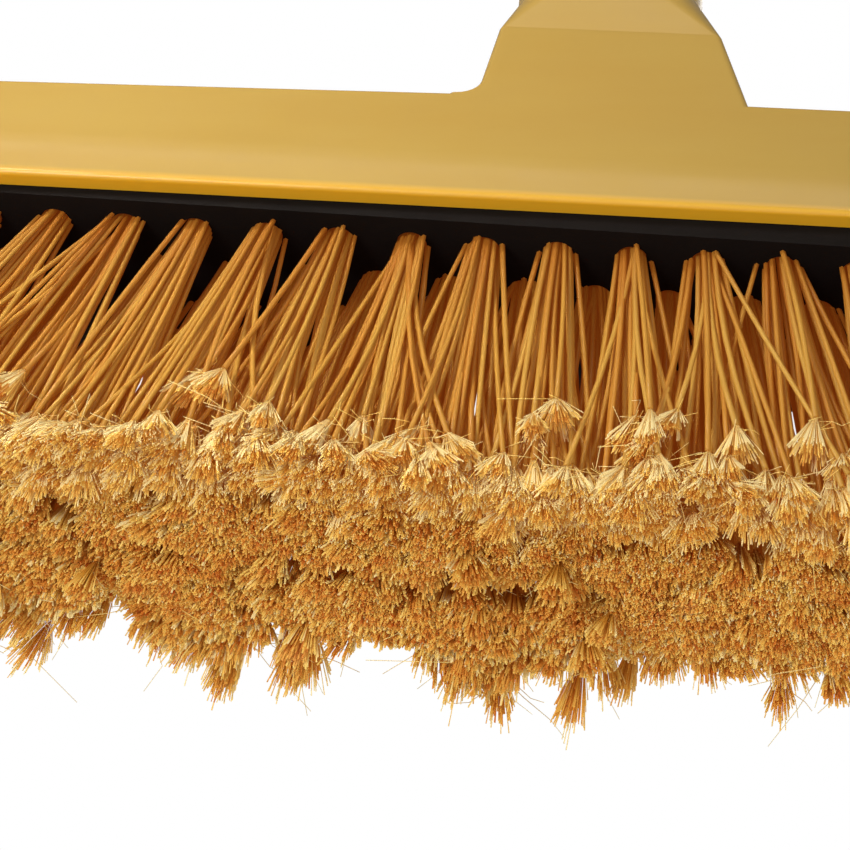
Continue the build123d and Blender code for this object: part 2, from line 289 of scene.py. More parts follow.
class FinishSettings(bpy.types.PropertyGroup):
    """Colours of the moulded pieces, the bristles with their painted light, shade and glow, and the metal,
    and where the cap's rim with its painted glow lies.
    """

    cap: colour("Cap", "Moulded yellow of the cap", 184, 149, 70)
    cap_shade: colour("Cap shade", "Deeper yellow where the moulding flowed", 181, 144, 65)
    # Painted glow: the rim's amber is a bright band laid over the cap's yellow, standing in for light that
    # shines through the thin rim, not a colour of the plastic.
    rim_glow_amber: colour("Cap rim", "Amber of the cap's thin rim, which lets light through", 230, 171, 38)
    rim_height: size("Rim height", "Height of the cap's rim on the handle's axis", 0.076446)
    rim_angle: angle("Rim angle", "Slope of the cap's rim along the head", 4.65)
    rim_fade: size("Rim fade", "Height over which the rim's amber fades into the cap", 0.0018)
    block: colour("Block", "Moulded black of the tuft block", 13, 9, 7)
    block_shade: colour("Block shade", "Worn black of the tuft block", 18, 13, 10)
    # Painted shade: the bristle's root colour is a darker amber near the block, where the cap shades the
    # bristles.
    bristle_root_shade: colour("Bristle root", "Amber of a bristle near the block", 158, 92, 29)
    bristle_shaft: colour("Bristle shaft", "Amber of a bristle's free length", 197, 148, 69)
    # Painted shade: the fork colour is a deep amber where a bristle splits inside the brush, darker for the
    # shade there. The split and flag colours after it grow to straw, partly the split ends' own frosted
    # colour and partly painted light on their tips.
    bristle_fork_shade: colour("Bristle fork", "Deep amber where a bristle splits inside the brush", 170, 96, 32)
    bristle_split: colour("Bristle split", "Amber half way down the split ends", 228, 165, 70)
    bristle_flag: colour("Bristle flag", "Straw of the split ends", 254, 208, 118)
    # Painted light: the front split colour is paler than the inner forks, as light falling on the front row.
    lit_front_split: colour("Front split", "Golden straw where the front row's bristles split", 238, 180, 86)
    # Painted glow: the bristles emit this faint warm light, standing in for light that passes through them,
    # though they are no lamp.
    bristle_painted_glow: colour("Bristle glow", "Faint warmth of light that bristles pass on", 255, 120, 34)
    sleeve: colour("Sleeve", "Glossy yellow of the handle", 222, 178, 78)
    sleeve_shade: colour("Sleeve shade", "Deeper yellow of the handle", 216, 170, 70)
    black_plastic: colour("Black plastic", "Moulded black of the threaded tip and the hang cap", 24, 24, 25)
    black_shade: colour("Black shade", "Worn black of the threaded tip and the hang cap", 40, 39, 39)
    steel: colour("Steel", "Bright steel of tube, pin, screws and staples", 196, 197, 201)
    steel_shade: colour("Steel shade", "Darker drawn lines in the steel", 150, 151, 156)


class StageSettings(bpy.types.PropertyGroup):
    """Floor, light and the camera's place."""

    floor: colour("Floor", "Pale floor", 150, 150, 149)
    floor_side: size("Floor side", "Side of the square floor", 8.0)
    sky_light: share("Sky light", "Strength of the white surroundings from above", 0.12)
    ground_light: share("Ground light", "Strength of the white surroundings from below", 0.9)
    eye: FloatVectorProperty(
        name="Eye",
        description="Where the camera stands",
        default=(0.01962, -0.33464, -0.268245),
        subtype="XYZ",
        unit="LENGTH",
    )
    eye_yaw: angle("Eye yaw", "Turn of the camera from straight at the front", -7.691)
    eye_pitch: angle("Eye pitch", "How far the camera looks up", 43.238)
    eye_roll: angle("Eye roll", "Roll of the camera about its own line of sight", 5.444)
    focal_pixels: share("Focal pixels", "Focal length in pixels of the square image", 3034.0)


def add_node(tree, kind, inputs=None, **attributes):
    """Adds a shader node. Attributes are set on it, and each input socket is linked or given a value."""
    made = tree.nodes.new(kind)
    for name, value in attributes.items():
        setattr(made, name, value)
    for socket, value in (inputs or {}).items():
        if isinstance(value, bpy.types.NodeSocket):
            tree.links.new(value, made.inputs[socket])
        else:
            made.inputs[socket].default_value = value
    return made


def add_mix(tree, factor, first, second, blend="MIX"):
    """Adds a mix of two colours by a factor and returns its colour."""
    inputs = {MIX_FACTOR: factor, MIX_FIRST: first, MIX_SECOND: second}
    mix = add_node(tree, "ShaderNodeMix", inputs, data_type="RGBA", blend_type=blend)
    return mix.outputs[MIX_RESULT]


def add_range(tree, value, start, end, first=0.0, last=1.0):
    """Adds an even lead from first to last as a value goes from start to end, and returns its result."""
    inputs = {"Value": value, "From Min": start, "From Max": end, "To Min": first, "To Max": last}
    return add_node(tree, "ShaderNodeMapRange", inputs).outputs["Result"]


def add_noise(tree, place, scale, detail, roughness=0.5):
    """Adds soft noise at a place and returns its value."""
    inputs = {"Vector": place, "Scale": scale, "Detail": detail, "Roughness": roughness}
    return add_node(tree, "ShaderNodeTexNoise", inputs).outputs["Fac"]


def add_place(tree):
    """Adds the place on the object and returns it."""
    return add_node(tree, "ShaderNodeTexCoord").outputs["Object"]


def stretch(tree, place, scale):
    """Adds a place times a scale along each axis and returns it."""
    return add_node(tree, "ShaderNodeMapping", {"Vector": place, "Scale": scale}).outputs["Vector"]


def add_ramp(tree, factor, *stops):
    """Adds a colour ramp from stops of (place, colour) and returns its colour."""
    ramp = add_node(tree, "ShaderNodeValToRGB", {"Fac": factor})
    elements = ramp.color_ramp.elements
    while len(elements) < len(stops):
        elements.new(1.0)
    for element, (place, tone) in zip(elements, stops):
        element.position = place
        element.color = (*tone[:3], 1.0)
    return ramp.outputs["Color"]


def new_group(name, inputs):
    """Starts a shader node group that puts out a colour, a roughness and a height.

    Inputs are (socket name, socket kind). Returns the group with its input and output nodes.
    """
    outputs = [
        ("Colour", "NodeSocketColor"),
        ("Roughness", "NodeSocketFloat"),
        ("Height", "NodeSocketFloat"),
    ]
    group = bpy.data.node_groups.new(name, "ShaderNodeTree")
    for in_out, sockets in (("INPUT", inputs), ("OUTPUT", outputs)):
        for socket, kind in sockets:
            group.interface.new_socket(name=socket, in_out=in_out, socket_type=kind)
    return group, group.nodes.new("NodeGroupInput"), group.nodes.new("NodeGroupOutput")


def moulded_skin():
    """Group: broad flow mottling between two tones, with pebble and dents for roughness and height."""
    if "Moulded skin" in bpy.data.node_groups:
        return bpy.data.node_groups["Moulded skin"]
    tones = [("Tone", "NodeSocketColor"), ("Shade", "NodeSocketColor")]
    limits = [("Smooth", "NodeSocketFloat"), ("Rough", "NodeSocketFloat")]
    group, given, made = new_group("Moulded skin", tones + limits)
    place = add_place(group)
    flow = add_noise(group, stretch(group, place, FLOW_STRETCH), scale=1.6, detail=4.0, roughness=0.55)
    pebble = add_noise(group, place, scale=1500.0, detail=2.0)
    dents = add_noise(group, place, scale=120.0, detail=3.0)
    mottling = add_range(group, flow, *FLOW_RANGE)
    tone = add_mix(group, mottling, given.outputs["Tone"], given.outputs["Shade"])
    roughness = add_range(group, dents, *DENT_RANGE, given.outputs["Smooth"], given.outputs["Rough"])
    layers = {0: pebble, 1: PEBBLE_SHARE, 2: dents}
    height = add_node(group, "ShaderNodeMath", layers, operation="MULTIPLY_ADD")
    group.links.new(tone, made.inputs["Colour"])
    group.links.new(roughness, made.inputs["Roughness"])
    group.links.new(height.outputs["Value"], made.inputs["Height"])
    return group


def drawn_steel():
    """Group: fine lines along the handle's axis between two tones, with their roughness and height."""
    if "Drawn steel" in bpy.data.node_groups:
        return bpy.data.node_groups["Drawn steel"]
    tones = [("Tone", "NodeSocketColor"), ("Shade", "NodeSocketColor")]
    group, given, made = new_group("Drawn steel", tones)
    lines = add_noise(group, stretch(group, add_place(group), DRAWN_LINE_STRETCH), scale=1.0, detail=3.0)
    tone = add_mix(group, lines, given.outputs["Tone"], given.outputs["Shade"])
    roughness = add_range(group, lines, 0.0, 1.0, *DRAWN_LINE_ROUGHNESS)
    group.links.new(tone, made.inputs["Colour"])
    group.links.new(roughness, made.inputs["Roughness"])
    group.links.new(lines, made.inputs["Height"])
    return group


def new_material(name):
    """Starts a material and returns it with its node tree and its Principled shader."""
    material = bpy.data.materials.new(name)
    material.use_nodes = True
    tree = material.node_tree
    return material, tree, tree.nodes["Principled BSDF"]


def finish_material(name, group, inputs, bump_strength, bump_distance, **constants):
    """A material with colour, roughness and height from a group, and plain values on other sockets."""
    material, tree, shader = new_material(name)
    skin = add_node(tree, "ShaderNodeGroup", node_tree=group)
    for socket, value in inputs.items():
        skin.inputs[socket].default_value = value
    bump = add_node(
        tree,
        "ShaderNodeBump",
        {"Height": skin.outputs["Height"], "Strength": bump_strength, "Distance": bump_distance},
    )
    tree.links.new(skin.outputs["Colour"], shader.inputs["Base Color"])
    tree.links.new(skin.outputs["Roughness"], shader.inputs["Roughness"])
    tree.links.new(bump.outputs["Normal"], shader.inputs["Normal"])
    for socket, value in constants.items():
        shader.inputs[socket.replace("_", " ")].default_value = value
    return material


def rgba(tone):
    """A colour setting as a socket takes it."""
    return (*tone, 1.0)


def moulded_material(name, tone, shade, smooth, rough, pebble, **constants):
    """A moulded plastic between two tones and two roughnesses, with a pebble of some strength."""
    inputs = {"Tone": rgba(tone), "Shade": rgba(shade), "Smooth": smooth, "Rough": rough}
    return finish_material(name, moulded_skin(), inputs, pebble, PEBBLE_DEPTH, **constants)


def paint_rim_glow(material, finish):
    """Paints a glow on the cap's rim: leads a cap material's colour to a bright amber over a fade above the
    sloping rim plane, standing in for light that shines through the thin rim.
    """
    tree = material.node_tree
    colour_socket = tree.nodes["Principled BSDF"].inputs["Base Color"]
    plain = colour_socket.links[0].from_socket
    uphill = (tan(finish.rim_angle), 0, 1)
    level = add_node(tree, "ShaderNodeVectorMath", {0: add_place(tree), 1: uphill}, operation="DOT_PRODUCT")
    fade_end = finish.rim_height + finish.rim_fade
    glow_share = add_range(tree, level.outputs["Value"], finish.rim_height, fade_end, first=1.0, last=0.0)
    tree.links.new(add_mix(tree, glow_share, plain, rgba(finish.rim_glow_amber)), colour_socket)
    return material


def bristle_material(finish):
    """Colour from the strand map: along it from root to split end, across it from strand to strand."""
    material, tree, shader = new_material("Bristle")
    strand = add_node(tree, "ShaderNodeUVMap", uv_map=STRAND_MAP)
    parts = add_node(tree, "ShaderNodeSeparateXYZ", {"Vector": strand.outputs["UV"]})
    across, along = parts.outputs["X"], parts.outputs["Y"]
    # Painted shade and light along the map: the darker root and the deep amber at an inner fork are painted
    # shade under the cap and inside the brush, the front row's paler run is painted light, and the split
    # ends' straw is partly their own frosted colour and partly painted light.
    run_colour = add_ramp(
        tree,
        along,
        (0.0, finish.bristle_root_shade),
        (ROOT_END, finish.bristle_shaft),
        (SHAFT_END, finish.bristle_shaft),
        (INNER_FORK, finish.bristle_fork_shade),
        (INNER_SPLIT, finish.bristle_split),
        (INNER_STRAW, finish.bristle_flag),
        (INNER_TIP, finish.bristle_flag),
        (FRONT_FORK, finish.lit_front_split),
        (FRONT_STRAW, finish.bristle_flag),
    )
    tint = add_ramp(tree, across, *STRAND_TINTS)
    tree.links.new(add_mix(tree, 1.0, run_colour, tint, blend="MULTIPLY"), shader.inputs["Base Color"])
    roughness = add_range(tree, along, ROUGHER_START, FRONT_TIP, *BRISTLE_ROUGHNESS)
    tree.links.new(roughness, shader.inputs["Roughness"])
    # Painted glow: an emission, strongest in the shafts, that stands in for light passing through the amber
    # bristles and warms their shade.
    glow_stops = [(place, [part * low for part in finish.bristle_painted_glow]) for place, low in PAINTED_GLOW_STOPS]
    glow = add_ramp(tree, along, *glow_stops)
    tree.links.new(glow, shader.inputs["Emission Color"])
    shader.inputs["Emission Strength"].default_value = PAINTED_GLOW_STRENGTH
    shader.inputs["Specular IOR Level"].default_value = BRISTLE_SPECULAR
    return material


def dress(material, *nodes):
    """Gives CAD nodes a finish in place of their plain one."""
    for name in nodes:
        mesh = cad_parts[name].data
        mesh.materials.clear()
        mesh.materials.append(material)


def unit(vectors):
    """Vectors made one long."""
    return vectors / np.linalg.norm(vectors, axis=-1, keepdims=True)


def tubes(paths, radii, sides, tone, along):
    """A regular polygon carried along each path and set across its tangent, closed at both ends.

    paths is (strands, points, 3), radii and along are (strands, points) and tone is (strands).
    Returns vertices, faces as a list of index arrays, and one map place for each corner of those faces.
    """
    strands, points = radii.shape
    tangent = unit(np.gradient(paths, axis=1))
    side = unit(np.cross(tangent, STRAND_SKEW))
    other = np.cross(tangent, side)
    turn = np.arange(sides) * 2 * pi / sides
    ring = np.cos(turn)[:, None] * side[:, :, None, :] + np.sin(turn)[:, None] * other[:, :, None, :]
    vertices = paths[:, :, None, :] + radii[:, :, None, None] * ring
    index = np.arange(strands * points * sides).reshape(strands, points, sides)
    after = np.roll(index, -1, axis=2)
    walls = np.stack([index[:, :-1], after[:, :-1], after[:, 1:], index[:, 1:]], axis=-1)
    ends = np.stack([index[:, 0, ::-1], index[:, -1]], axis=1)
    spread = STRAND_WIDTH * np.arange(sides + 1) / sides
    u = tone[:, None, None] * TONE_SPAN + spread[None, None, :] + np.zeros((strands, points, 1))
    v = np.broadcast_to(along[:, :, None], u.shape)
    place = np.stack([u, v], axis=-1)
    near, far = place[:, :-1], place[:, 1:]
    wall_place = np.stack([near[:, :, :-1], near[:, :, 1:], far[:, :, 1:], far[:, :, :-1]], axis=3)
    half_width = STRAND_WIDTH / 2
    across = np.stack([half_width + half_width * np.cos(turn), END_HEIGHT * np.sin(turn)], axis=-1)
    end_along = np.stack([along[:, 0], along[:, -1]], axis=1) * END_SCALE + END_LIFT
    end_centre = np.stack([np.broadcast_to(tone[:, None] * TONE_SPAN, end_along.shape), end_along], axis=-1)
    end_place = end_centre[:, :, None, :] + across
    faces = [walls.reshape(-1, 4), ends.reshape(-1, sides)]
    places = [wall_place.reshape(-1, 2), end_place.reshape(-1, 2)]
    return vertices.reshape(-1, 3), faces, places


def hair_cones(starts, ends, radius, tone, along):
    """A three-sided cone for each hair, its point in the shaft's end and its cut end closed by a triangle.

    starts and ends are (hairs, 3), radius and tone are (hairs) and along is (hairs, 2).
    Returns the same three things as tubes.
    """
    axis = unit(ends - starts)
    side = unit(np.cross(axis, STRAND_SKEW))
    other = np.cross(axis, side)
    turn = np.arange(3) * 2 * pi / 3
    ring = np.cos(turn)[:, None] * side[:, None, :] + np.sin(turn)[:, None] * other[:, None, :]
    vertices = np.concatenate([starts[:, None, :], ends[:, None, :] + radius[:, None, None] * ring], axis=1)
    index = np.arange(len(starts))[:, None, None] * 4
    faces = (index + HAIR_FACES).reshape(-1, 3)
    u = tone[:, None, None] * TONE_SPAN + HAIR_ACROSS
    v = along[:, :1, None] + (along[:, 1:, None] - along[:, :1, None]) * HAIR_RUN
    places = np.stack([u, v], axis=-1).reshape(-1, 2)
    return vertices.reshape(-1, 3), [faces], [places]


def mesh_piece(name, parts):
    """Joins strand sets into one mesh object at the origin, with its strand map.

    Four-cornered faces, the walls of tubes, are shaded smooth, and hairs and end faces flat.
    """
    mesh = bpy.data.meshes.new(name)
    starts = np.cumsum([0] + [len(vertices) for vertices, _, _ in parts[:-1]])
    faces = [face + start for (_, group, _), start in zip(parts, starts) for face in group]
    places = [place for _, _, group in parts for place in group]
    vertices = np.concatenate([vertices for vertices, _, _ in parts])
    corners = np.concatenate([face.ravel() for face in faces])
    totals = np.concatenate([np.full(len(face), face.shape[1]) for face in faces])
    mesh.vertices.add(len(vertices))
    mesh.vertices.foreach_set("co", vertices.astype(np.float32).ravel())
    mesh.loops.add(len(corners))
    mesh.loops.foreach_set("vertex_index", corners.astype(np.int32))
    mesh.polygons.add(len(totals))
    mesh.polygons.foreach_set("loop_start", (np.cumsum(totals) - totals).astype(np.int32))
    mesh.update(calc_edges=True)
    strand_map = mesh.uv_layers.new(name=STRAND_MAP)
    strand_map.uv.foreach_set("vector", np.concatenate(places).astype(np.float32).ravel())
    mesh.polygons.foreach_set("use_smooth", totals == 4)
    piece = bpy.data.objects.new(name, mesh)
    bpy.context.scene.collection.objects.link(piece)
    return piece


class BristleLines(NamedTuple):
    """Lines of a half row's bristles, one entry each: seat, end, bow and whether it is in the fringe."""

    first: np.ndarray
    end: np.ndarray
    bow: np.ndarray
    fringe: np.ndarray

    def places(self, run):
        """Places at runs from 0 at the seat to 1 at the end: a straight line plus half a wave of bow."""
        run = run[..., None]
        return self.first + (self.end - self.first) * run + self.bow * np.sin(pi * run)


class Flags(NamedTuple):
    """Split ends of a half row: run, fork and tip of each, and its directions along and across."""

    split: np.ndarray
    fork: np.ndarray
    tip: np.ndarray
    axis: np.ndarray
    side: np.ndarray
    other: np.ndarray


class RowEnds(NamedTuple):
    """How the split ends of one row differ from those of the others."""

    hairs: int
    clumps: int
    ruffle: float
    thickness: float
    # The tone of a row is painted light: a base paleness of its hairs, higher in the front row, which the
    # lamps light, than in the shaded rows behind.
    tone: float
    run: tuple
    loose: int
    loose_run: tuple


def row_ends(bristle, row):
    """Split ends of a row: fine, loose and painted paler in front, as if lit, in many clumps inside, in few
    at the back.
    """
    if row == FRONT_ROW:
        return RowEnds(
            hairs=bristle.front_hairs,
            clumps=14,
            ruffle=0.12,
            thickness=0.72,
            tone=0.34,
            run=(FRONT_FORK, FRONT_TIP),
            loose=bristle.front_loose,
            loose_run=(FRONT_LOOSE, FRONT_TIP),
        )
    inner = RowEnds(
        hairs=bristle.flag_hairs,
        clumps=28,
        ruffle=0.07,
        thickness=1,
        tone=0.1,
        run=(INNER_FORK, INNER_TIP),
        loose=bristle.loose_hairs,
        loose_run=(INNER_LOOSE, INNER_TIP),
    )
    if row == BACK_ROW:
        return inner._replace(clumps=14, run=(BACK_FORK, INNER_TIP), loose=inner.loose + MORE_AT_BACK)
    return inner


def trim_height(bristle, x):
    """Height of the slanting trim line, a straight fall along the head."""
    return bristle.block_height - bristle.bristle_length - x * tan(bristle.trim_angle)


def tuft_row(bristle, row):
    """A row's tufts: places along it, roots on the block's underside and tips on the trim line.

    The tips are the roots times the two fans. In the two rows behind, a draw that grows along the head leans
    them in.
    """
    count = bristle.long_row - row % 2
    along = (np.arange(count) - (count - 1) / 2) * bristle.tuft_pitch
    root_x = along * cos(bristle.block_angle)
    root_y = np.full(count, (row - BACK_ROW / 2) * bristle.row_pitch)
    root_z = bristle.block_height - along * sin(bristle.block_angle)
    tip_x = bristle.side_fan * root_x
    draw = bristle.rear_draw * np.clip((tip_x - DRAW_START) / DRAW_LENGTH, 0, 1)
    tip_y = bristle.depth_fan * root_y - draw * max(row - 1, 0) / 2
    tip_z = trim_height(bristle, tip_x)
    return along, np.stack([root_x, root_y, root_z], 1), np.stack([tip_x, tip_y, tip_z], 1)


def tip_offsets(bristle, row, order, heading, rng):
    """How far along and across the head each bristle ends from its tuft's tip, and which are in the fringe.

    The ends fill an oval as seeds fill a sunflower, loosened by chance. A few stray further out, and in
    front some cross the neighbouring tufts. Most of the back row gathers inwards, and its fringe stands out
    behind by a power of an even draw. Powers of the row's place, 0 in front and 1 at the back, make an
    effect grow or fade from the front row to the back row.
    """
    tufts, count = heading.shape[:2]
    back = row / BACK_ROW
    last = float(row == BACK_ROW)
    width = bristle.tip_spread + (bristle.rear_spread - bristle.tip_spread) * back ** 2
    oval = np.array([width, bristle.tip_depth * (1 - REAR_NARROWING * back ** 3)])
    spread = order[:, None] * heading * oval * rng.normal(1, OVAL_NOISE, (tufts, count, 1))
    spread *= rng.uniform(1 - REAR_SHRINK * back, 1 + REAR_SWELL * back, (tufts, 1, 1))
    tip_shift = rng.normal(0, TIP_NOISE, (tufts, count, 2))
    spread += tip_shift + rng.normal(0, TUFT_NOISE + REAR_TUFT_NOISE * back, (tufts, 1, 2))
    stray = rng.random((tufts, count, 1)) < STRAY_SHARE
    spread = np.where(stray, spread * rng.uniform(*STRAY_RANGE, stray.shape), spread)
    crossing = rng.random((tufts, count)) < CROSSING_SHARE * (1 - back) ** 3
    way = rng.choice([-1.0, 1.0], (tufts, count))
    aside = way * rng.uniform(*CROSSING_RANGE, (tufts, count)) * bristle.tuft_pitch
    forward = np.full((tufts, count), -CROSSING_DEPTH * bristle.tip_depth)
    spread = np.where(crossing[..., None], np.stack([aside, forward], -1), spread)
    fringe = rng.random((tufts, count)) < bristle.fringe_share * last
    spread[..., 1] -= bristle.rear_gather * last * rng.uniform(*GATHER_RANGE, (tufts, 1))
    beside = rng.normal(0, FRINGE_NOISE, (tufts, count))
    behind = bristle.fringe_reach * rng.random((tufts, count)) ** FRINGE_POWER - bristle.fringe_start
    spread = np.where(fringe[..., None], np.stack([beside, behind], -1), spread)
    return spread, fringe


def bristle_lines(bristle, row, roots, tips, rng):
    """Lines of a half row's bristles, from sunflower seats deep in the holes to ends near the trim line.

    The ends are a little uneven. Some are cut short, most of them at the front, and a few at the back are
    long. A line bows by chance and against its own spread.
    """
    tufts, count = len(roots), bristle.bristles
    back = row / BACK_ROW
    order = np.sqrt((np.arange(count) + 0.5) / count)
    turn = np.arange(count) * GOLDEN_ANGLE + rng.uniform(0, 2 * pi, (tufts, 1))
    heading = np.stack([np.cos(turn), np.sin(turn)], -1)
    spread, fringe = tip_offsets(bristle, row, order, heading, rng)
    first = np.repeat((roots + unit(roots - tips) * bristle.hole_depth)[:, None, :], count, 1)
    first[..., :2] += SEAT_FILL * bristle.hole_radius * order[:, None] * heading
    end = np.repeat(tips[:, None, :], count, 1)
    end[..., :2] += spread
    end[..., 0] = np.clip(end[..., 0], -TIP_REACH_X, TIP_REACH_X)
    end[..., 1] = np.clip(end[..., 1], *TIP_RANGE_Y)
    faces_front = heading[..., 1] < FRONT_HEADING
    often = np.where(faces_front, SHORT_FRONT_SHARE * (1 - back) ** 4, 0.0) + SHORT_SHARE
    is_short = rng.random((tufts, count)) < often
    short = np.where(is_short, rng.uniform(*SHORT_RANGE, (tufts, count)), 0)
    is_long = rng.random((tufts, count)) < LONG_SHARE * back
    long = np.where(is_long, rng.uniform(*LONG_RANGE, (tufts, count)), 0)
    noise = FRONT_UNEVENNESS if row == FRONT_ROW else INNER_UNEVENNESS
    uneven = rng.normal(0, noise, (tufts, count)) + rng.normal(0, TUFT_UNEVENNESS, (tufts, 1))
    end[..., 2] = np.maximum(trim_height(bristle, end[..., 0]) + uneven + short - long, LOWEST_TIP)
    bow = rng.normal(0, BOW_NOISE, (tufts, count, 3)) * BOW_SHARES
    bow[..., :2] -= SPREAD_BOW * spread
    first, end, bow = (places.reshape(-1, 1, 3) for places in (first, end, bow))
    return BristleLines(first, end, bow, fringe.reshape(-1, 1))


def find_flags(lines, split):
    """The split ends that start at given runs of the bristles' lines and go straight on to their ends."""
    fork, tip = lines.places(split), lines.places(np.ones_like(split))
    axis = unit(tip - fork)
    side = unit(np.cross(axis, FLAG_SKEW))
    return Flags(split, fork, tip, axis, side, np.cross(axis, side))


def bristle_shafts(bristle, lines, split, tone, rng):
    """Tubes along the bristles' lines, from their seats to where they split."""
    run = np.linspace(0, 1, SHAFT_POINTS) * split
    girth = bristle.bristle_radius * rng.uniform(*SHAFT_GIRTH_RANGE, split.shape) * np.ones(SHAFT_POINTS)
    shaft_tone = SHAFT_TONE + SHAFT_TONE_SPAN * tone
    return tubes(lines.places(run), girth, SHAFT_SIDES, shaft_tone, np.minimum(run, SHAFT_END))


def keep_hairs_inside(places):
    """Holds places of hairs, in the array itself, between the front and back limits and above the floor."""
    places[..., 1] = np.clip(places[..., 1], *HAIR_RANGE_Y)
    places[..., 2] = np.maximum(places[..., 2], LOWEST_HAIR)


def split_end_cones(bristle, row, lines, flags, tone, rng):
    """Cones of the hairs that the bristles split into.

    The hairs start packed in the shaft's end and open to clumps on a sunflower disc. Each runs on or stops
    short by as much as its side step lifts it, so that a bristle's hairs end level but for noise. Hairs are
    painted paler further out on the disc and on its side that faces out of the brush, most of all in the
    outer
    rows: painted light where the lamps reach them, and painted shade deeper in.
    """
    ends, strands = row_ends(bristle, row), len(tone)
    back = row / BACK_ROW
    clump_turn = np.arange(ends.clumps) * GOLDEN_ANGLE + rng.uniform(0, 2 * pi, (strands, 1))
    clump_order = np.sqrt((np.arange(ends.clumps) + CLUMP_START) / ends.clumps)
    clump_reach = clump_order * rng.uniform(*CLUMP_RANGE, (strands, ends.clumps))
    clump = np.stack([np.cos(clump_turn), np.sin(clump_turn)], -1) * clump_reach[..., None]
    ruffle = rng.normal(0, ends.ruffle, (strands, ends.hairs, 2))
    own = clump[:, np.arange(ends.hairs) % ends.clumps] + ruffle
    packed = own * PACKING * bristle.bristle_radius
    bent = rng.random((strands, 1, 1)) < BENT_SHARE
    lean = rng.normal(0, 1, (strands, 1, 2)) * np.where(bent, BENT_LEAN, PLAIN_LEAN) * bristle.flag_length
    opened = lean + own * bristle.flag_radius * rng.uniform(*OPENING_RANGE, (strands, 1, 1))
    noise = rng.normal(0, CUT_NOISE, (strands, ends.hairs)) * np.where(lines.fringe, FRINGE_CUT, 1)
    lift = opened[..., 0] * flags.side[..., 2] + opened[..., 1] * flags.other[..., 2] - noise
    drop = (flags.fork - flags.tip)[..., 2]
    end_run = flags.split + (1 - flags.split) * (1 + lift / drop)
    cut = lines.places(end_run) + opened[..., :1] * flags.side + opened[..., 1:] * flags.other
    keep_hairs_inside(cut)
    point = flags.fork + packed[..., :1] * flags.side + packed[..., 1:] * flags.other
    girth = bristle.hair_radius * ends.thickness * np.where(lines.fringe, FRINGE_HAIR_GIRTH, 1)
    thickness = girth * rng.uniform(*HAIR_GIRTH_RANGE, (strands, ends.hairs))
    rim = np.linalg.norm(own, axis=-1)
    # Painted light: paleness grows at a split end's rim and on its side facing out of the brush, most in the
    # front and back rows; the strand's own tone and the noise are chance.
    pale = RIM_PAINTED_LIGHT * rim ** 2 + STRAND_PALENESS * tone[:, None]
    pale += OUTWARD_PAINTED_LIGHT * (1 - back) ** 2 * np.clip(own[..., 1], 0, 1)
    pale += OUTWARD_PAINTED_LIGHT * max(2 * back - 1, 0) ** 2 * np.clip(-own[..., 1], 0, 1)
    hair_tone = np.clip(ends.tone + pale + rng.normal(0, HAIR_TONE_NOISE, (strands, ends.hairs)), 0, 1)
    run = np.broadcast_to(np.array(ends.run), (strands * ends.hairs, 2))
    return hair_cones(point.reshape(-1, 3), cut.reshape(-1, 3), thickness.ravel(), hair_tone.ravel(), run)


def loose_hair_tubes(bristle, row, lines, flags, rng):
    """Thin tubes of the hairs that leave the split ends on paths of their own.

    A path goes on along the flag and steps aside evenly, plus a curl that grows with the square of its run
    and turns as a sine wave.
    """
    ends, strands = row_ends(bristle, row), len(flags.fork)
    each = (strands, ends.loose, 1, 1)
    step = np.linspace(0, 1, LOOSE_POINTS)[:, None]
    leave = rng.normal(0, LEAVE_NOISE, (strands, ends.loose, 1, 2))
    curl = rng.normal(0, CURL_NOISE, (strands, ends.loose, 1, 2))
    longer = np.where(lines.fringe, FRINGE_LOOSE_REACH, 1)[..., None, None]
    reach = rng.uniform(*REACH_RANGE, each) * bristle.flag_length * longer
    wander = (leave * step + curl * step ** 2 * np.sin(step * rng.uniform(*CURL_RANGE, each))) * reach
    begin = flags.fork + (flags.tip - flags.fork) * rng.uniform(*BEGIN_RANGE, (strands, ends.loose, 1))
    axis, side, other = (way[:, :, None, :] for way in (flags.axis, flags.side, flags.other))
    paths = begin[:, :, None, :] + axis * step * reach * rng.uniform(*AHEAD_RANGE, each)
    paths = paths + wander[..., :1] * side + wander[..., 1:] * other
    keep_hairs_inside(paths)
    every = np.ones((strands * ends.loose, 1))
    thickness = bristle.hair_radius * np.linspace(*LOOSE_TAPER, LOOSE_POINTS) * every
    run = np.linspace(*ends.loose_run, LOOSE_POINTS) * every
    tone = rng.uniform(*LOOSE_TONE_RANGE, strands * ends.loose)
    return tubes(paths.reshape(-1, LOOSE_POINTS, 3), thickness, LOOSE_SIDES, tone, run)


def half_row_strands(bristle, row, roots, tips, rng):
    """Strand sets of a half row: shafts up to where each bristle splits, then split ends and loose hairs."""
    lines = bristle_lines(bristle, row, roots, tips, rng)
    strands = len(lines.first)
    length = np.linalg.norm(lines.end - lines.first, axis=-1)
    flag = bristle.flag_length * np.where(lines.fringe, FRINGE_FLAG, 1)
    split = 1 - flag * rng.uniform(*FLAG_RANGE, (strands, 1)) / length
    tone = rng.random(strands)
    shafts = bristle_shafts(bristle, lines, split, tone, rng)
    flags = find_flags(lines, split)
    split_ends = split_end_cones(bristle, row, lines, flags, tone, rng)
    loose_ends = loose_hair_tubes(bristle, row, lines, flags, rng)
    return [shafts, split_ends, loose_ends]


